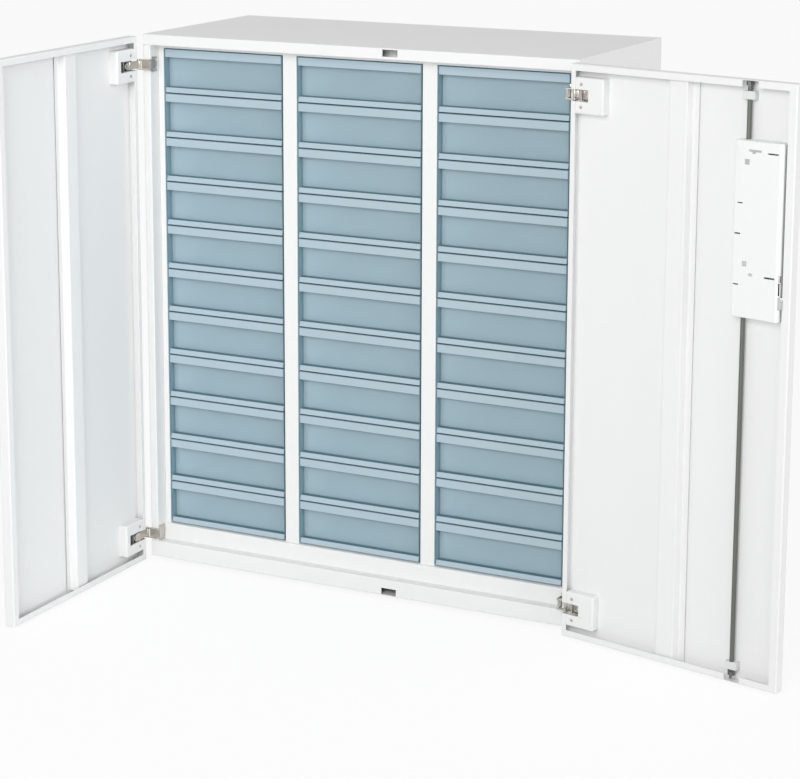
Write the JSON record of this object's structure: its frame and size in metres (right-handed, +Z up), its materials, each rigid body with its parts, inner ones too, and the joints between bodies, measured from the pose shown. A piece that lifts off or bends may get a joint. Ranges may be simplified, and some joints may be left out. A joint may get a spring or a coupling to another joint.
{
  "type": "tray storage cabinet",
  "caption": "White steel cabinet with two hinged doors, one with a handle and lock rod, over three columns of shallow see-through sliding trays, on adjuster feet.",
  "frame": {"origin": "on the floor, under the middle of the front of the case", "axes": "+X to the right seen from the front, +Y from the front towards the back, +Z up"},
  "size_m": [1.3617, 0.8598, 1.05],
  "materials": {
    "white_paint": "semi-gloss powder coat",
    "foot": "matt",
    "nickel": "nickel plated",
    "rod": "dark zinc plated",
    "white_plastic": "moulded",
    "guide": "moulded",
    "handle": "moulded",
    "lock_metal": "plated",
    "tray": "clear tinted moulding"
  },
  "bodies": {
    "cabinet": {"left_side_panel": "white_paint", "right_side_panel": "white_paint", "top_panel": "white_paint", "bottom_panel": "white_paint", "base_shelf": "white_paint", "back_panel": "white_paint", "partitions": "white_paint", "side_liners": "white_paint", "tray_runners": "white_paint", "adjuster_feet": "foot", "hinge_arms": "nickel"},
    "left_door": {"left_door_skin": "white_paint", "left_door_stiffener": "white_paint", "left_hinge_brackets": "white_paint", "left_hinge_fittings": "nickel"},
    "right_door": {"right_door_skin": "white_paint", "right_door_stiffener": "white_paint", "right_hinge_brackets": "white_paint", "right_hinge_fittings": "nickel", "rod_guides": "guide", "lock_case": "white_plastic", "handle_bowl": "handle", "lock_barrel": "lock_metal"},
    "lock_rod": {"lock_rod": "rod"},
    "latch_bolt": {"latch_bolt": "white_plastic"},
    "handle_lever": {"handle_lever": "handle"},
    "lock_plug": {"lock_plug": "lock_metal"},
    "tray_a01": {"tray_a01": "tray"},
    "tray_a02": {"tray_a02": "tray"},
    "tray_a03": {"tray_a03": "tray"},
    "tray_a04": {"tray_a04": "tray"},
    "tray_a05": {"tray_a05": "tray"},
    "tray_a06": {"tray_a06": "tray"},
    "tray_a07": {"tray_a07": "tray"},
    "tray_a08": {"tray_a08": "tray"},
    "tray_a09": {"tray_a09": "tray"},
    "tray_a10": {"tray_a10": "tray"},
    "tray_a11": {"tray_a11": "tray"},
    "tray_b01": {"tray_b01": "tray"},
    "tray_b02": {"tray_b02": "tray"},
    "tray_b03": {"tray_b03": "tray"},
    "tray_b04": {"tray_b04": "tray"},
    "tray_b05": {"tray_b05": "tray"},
    "tray_b06": {"tray_b06": "tray"},
    "tray_b07": {"tray_b07": "tray"},
    "tray_b08": {"tray_b08": "tray"},
    "tray_b09": {"tray_b09": "tray"},
    "tray_b10": {"tray_b10": "tray"},
    "tray_b11": {"tray_b11": "tray"},
    "tray_c01": {"tray_c01": "tray"},
    "tray_c02": {"tray_c02": "tray"},
    "tray_c03": {"tray_c03": "tray"},
    "tray_c04": {"tray_c04": "tray"},
    "tray_c05": {"tray_c05": "tray"},
    "tray_c06": {"tray_c06": "tray"},
    "tray_c07": {"tray_c07": "tray"},
    "tray_c08": {"tray_c08": "tray"},
    "tray_c09": {"tray_c09": "tray"},
    "tray_c10": {"tray_c10": "tray"},
    "tray_c11": {"tray_c11": "tray"}
  },
  "joints": [
    {"name": "left_door_hinge", "type": "hinge", "parent": "cabinet", "child": "left_door", "pos_m": [-0.4569, -0.0044, 0.6], "axis": [0, 0, -1], "range_deg": [-90, 77.5]},
    {"name": "right_door_hinge", "type": "hinge", "parent": "cabinet", "child": "right_door", "pos_m": [0.449, -0.016, 0.6], "axis": [0, 0, 1], "range_deg": [-167.5, 2.5]},
    {"name": "lever_pull", "type": "hinge", "parent": "right_door", "child": "handle_lever", "pos_m": [0.814, -0.09385, 0.8], "axis": [0, 0, 1], "range_deg": [0, 30], "stiffness_Nm_per_rad": 0.6},
    {"name": "rod_turn", "type": "hinge", "parent": "right_door", "child": "lock_rod", "pos_m": [0.79249, -0.09522, 0.6], "axis": [0, 0, 1], "range_deg": [0, 50]},
    {"name": "bolt_slide", "type": "slide", "parent": "right_door", "child": "latch_bolt", "axis": [-0.9763, 0.2164, 0], "range_m": [0, 0.006]},
    {"name": "plug_turn", "type": "hinge", "parent": "right_door", "child": "lock_plug", "pos_m": [0.8374, -0.09596, 0.912], "axis": [0.2164, 0.9763, 0], "range_deg": [0, 90]},
    {"name": "tray_a01_slide", "type": "slide", "parent": "cabinet", "child": "tray_a01", "axis": [0, -1, 0], "range_m": [0, 0.25]},
    {"name": "tray_a02_slide", "type": "slide", "parent": "cabinet", "child": "tray_a02", "axis": [0, -1, 0], "range_m": [0, 0.25]},
    {"name": "tray_a03_slide", "type": "slide", "parent": "cabinet", "child": "tray_a03", "axis": [0, -1, 0], "range_m": [0, 0.25]},
    {"name": "tray_a04_slide", "type": "slide", "parent": "cabinet", "child": "tray_a04", "axis": [0, -1, 0], "range_m": [0, 0.25]},
    {"name": "tray_a05_slide", "type": "slide", "parent": "cabinet", "child": "tray_a05", "axis": [0, -1, 0], "range_m": [0, 0.25]},
    {"name": "tray_a06_slide", "type": "slide", "parent": "cabinet", "child": "tray_a06", "axis": [0, -1, 0], "range_m": [0, 0.25]},
    {"name": "tray_a07_slide", "type": "slide", "parent": "cabinet", "child": "tray_a07", "axis": [0, -1, 0], "range_m": [0, 0.25]},
    {"name": "tray_a08_slide", "type": "slide", "parent": "cabinet", "child": "tray_a08", "axis": [0, -1, 0], "range_m": [0, 0.25]},
    {"name": "tray_a09_slide", "type": "slide", "parent": "cabinet", "child": "tray_a09", "axis": [0, -1, 0], "range_m": [0, 0.25]},
    {"name": "tray_a10_slide", "type": "slide", "parent": "cabinet", "child": "tray_a10", "axis": [0, -1, 0], "range_m": [0, 0.25]},
    {"name": "tray_a11_slide", "type": "slide", "parent": "cabinet", "child": "tray_a11", "axis": [0, -1, 0], "range_m": [0, 0.25]},
    {"name": "tray_b01_slide", "type": "slide", "parent": "cabinet", "child": "tray_b01", "axis": [0, -1, 0], "range_m": [0, 0.25]},
    {"name": "tray_b02_slide", "type": "slide", "parent": "cabinet", "child": "tray_b02", "axis": [0, -1, 0], "range_m": [0, 0.25]},
    {"name": "tray_b03_slide", "type": "slide", "parent": "cabinet", "child": "tray_b03", "axis": [0, -1, 0], "range_m": [0, 0.25]},
    {"name": "tray_b04_slide", "type": "slide", "parent": "cabinet", "child": "tray_b04", "axis": [0, -1, 0], "range_m": [0, 0.25]},
    {"name": "tray_b05_slide", "type": "slide", "parent": "cabinet", "child": "tray_b05", "axis": [0, -1, 0], "range_m": [0, 0.25]},
    {"name": "tray_b06_slide", "type": "slide", "parent": "cabinet", "child": "tray_b06", "axis": [0, -1, 0], "range_m": [0, 0.25]},
    {"name": "tray_b07_slide", "type": "slide", "parent": "cabinet", "child": "tray_b07", "axis": [0, -1, 0], "range_m": [0, 0.25]},
    {"name": "tray_b08_slide", "type": "slide", "parent": "cabinet", "child": "tray_b08", "axis": [0, -1, 0], "range_m": [0, 0.25]},
    {"name": "tray_b09_slide", "type": "slide", "parent": "cabinet", "child": "tray_b09", "axis": [0, -1, 0], "range_m": [0, 0.25]},
    {"name": "tray_b10_slide", "type": "slide", "parent": "cabinet", "child": "tray_b10", "axis": [0, -1, 0], "range_m": [0, 0.25]},
    {"name": "tray_b11_slide", "type": "slide", "parent": "cabinet", "child": "tray_b11", "axis": [0, -1, 0], "range_m": [0, 0.25]},
    {"name": "tray_c01_slide", "type": "slide", "parent": "cabinet", "child": "tray_c01", "axis": [0, -1, 0], "range_m": [0, 0.25]},
    {"name": "tray_c02_slide", "type": "slide", "parent": "cabinet", "child": "tray_c02", "axis": [0, -1, 0], "range_m": [0, 0.25]},
    {"name": "tray_c03_slide", "type": "slide", "parent": "cabinet", "child": "tray_c03", "axis": [0, -1, 0], "range_m": [0, 0.25]},
    {"name": "tray_c04_slide", "type": "slide", "parent": "cabinet", "child": "tray_c04", "axis": [0, -1, 0], "range_m": [0, 0.25]},
    {"name": "tray_c05_slide", "type": "slide", "parent": "cabinet", "child": "tray_c05", "axis": [0, -1, 0], "range_m": [0, 0.25]},
    {"name": "tray_c06_slide", "type": "slide", "parent": "cabinet", "child": "tray_c06", "axis": [0, -1, 0], "range_m": [0, 0.25]},
    {"name": "tray_c07_slide", "type": "slide", "parent": "cabinet", "child": "tray_c07", "axis": [0, -1, 0], "range_m": [0, 0.25]},
    {"name": "tray_c08_slide", "type": "slide", "parent": "cabinet", "child": "tray_c08", "axis": [0, -1, 0], "range_m": [0, 0.25]},
    {"name": "tray_c09_slide", "type": "slide", "parent": "cabinet", "child": "tray_c09", "axis": [0, -1, 0], "range_m": [0, 0.25]},
    {"name": "tray_c10_slide", "type": "slide", "parent": "cabinet", "child": "tray_c10", "axis": [0, -1, 0], "range_m": [0, 0.25]},
    {"name": "tray_c11_slide", "type": "slide", "parent": "cabinet", "child": "tray_c11", "axis": [0, -1, 0], "range_m": [0, 0.25]}
  ],
  "couplings": [
    {"joint": "rod_turn", "follows": "lever_pull", "ratio": 1.6665},
    {"joint": "bolt_slide", "follows": "lever_pull", "m_per_rad": 0.011458}
  ]
}
